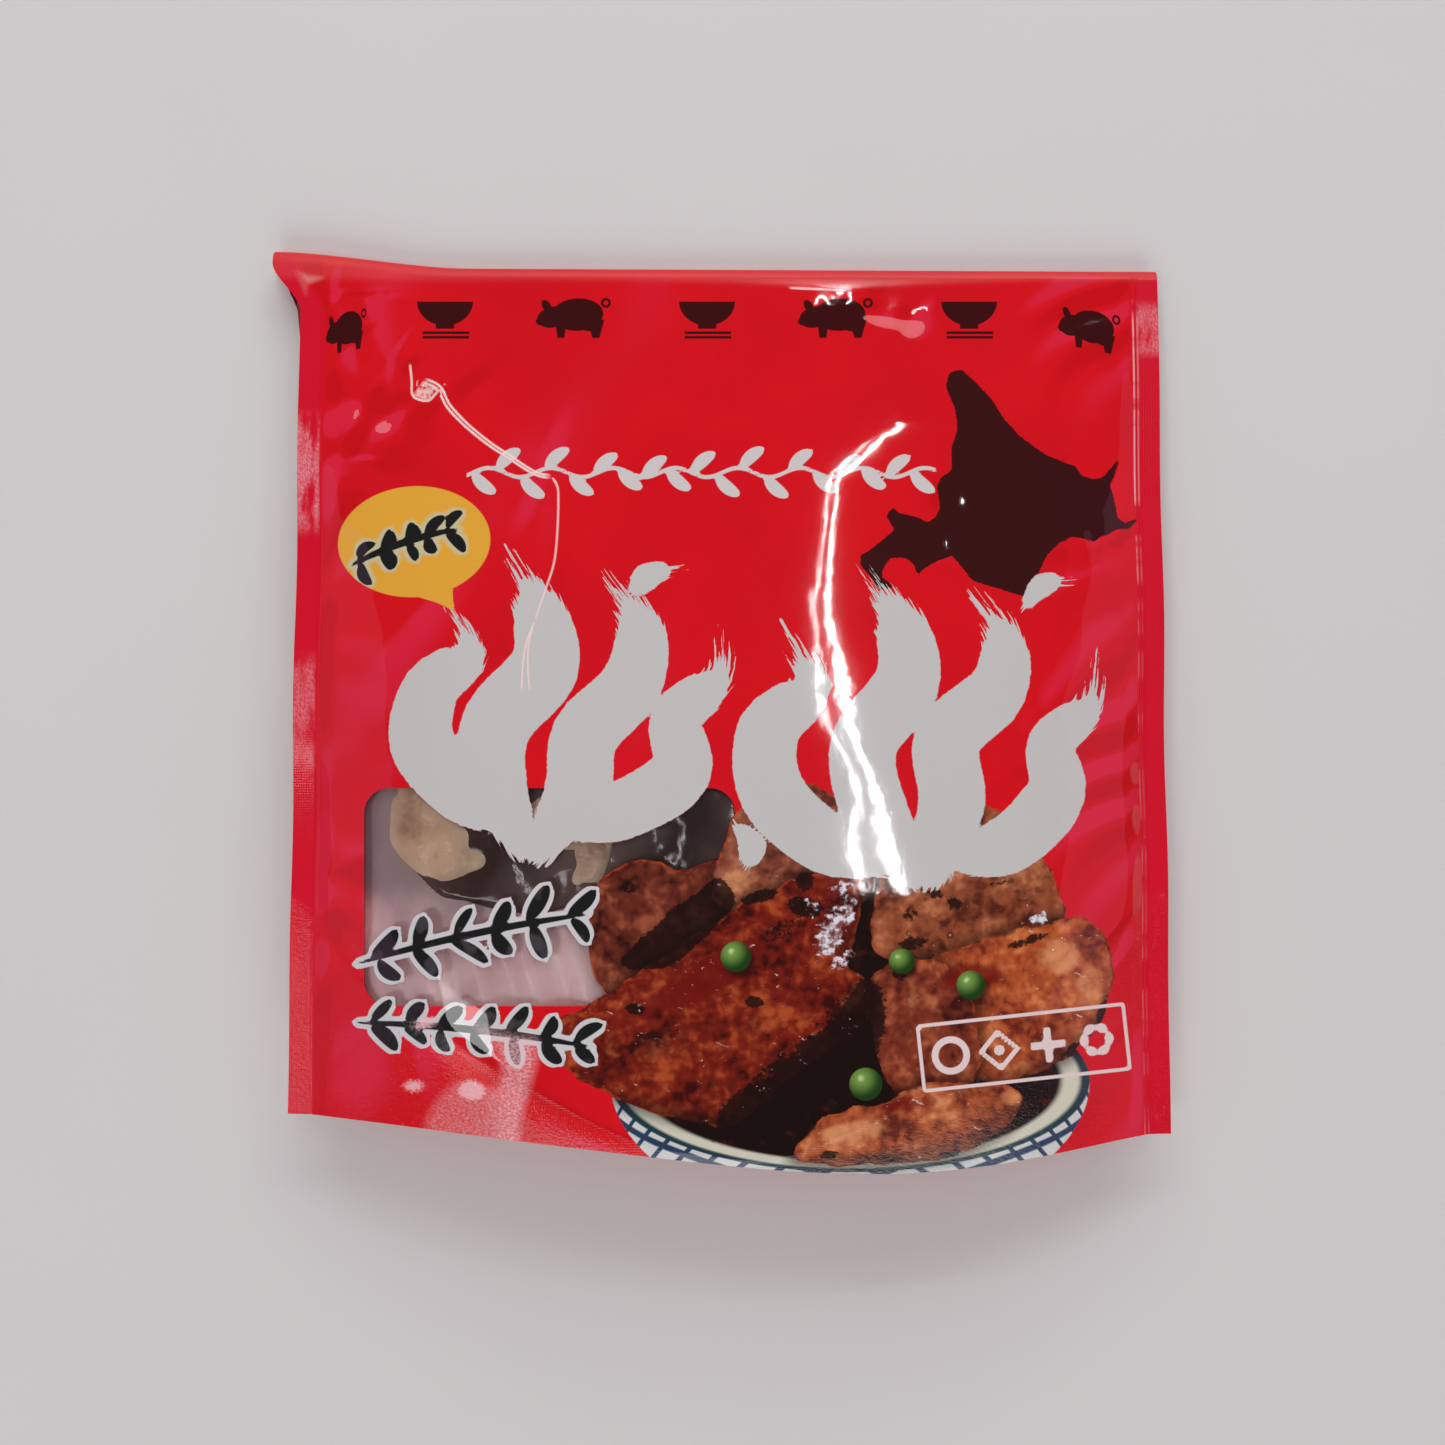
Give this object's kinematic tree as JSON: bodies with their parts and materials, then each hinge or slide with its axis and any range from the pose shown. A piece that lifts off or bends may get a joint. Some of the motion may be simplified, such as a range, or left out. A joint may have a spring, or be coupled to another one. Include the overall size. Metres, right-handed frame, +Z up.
{
  "type": "stand-up food pouch",
  "caption": "Glossy red film pouch of chilled food lying on its back, with a clear window, sealed sides, a gusset open at the bottom and its header folded behind.",
  "frame": {"origin": "on the surface that the pouch lies on, under the middle of its box", "axes": "+X to the right across the printed front, +Y from the gusset towards the folded top, +Z up out of the printed front"},
  "size_m": [0.215, 0.2174, 0.0298],
  "materials": {
    "printed_film": "glossy red printed film with a clear window"
  },
  "bodies": {
    "root": {"pouch": "printed_film"}
  },
  "joints": []
}
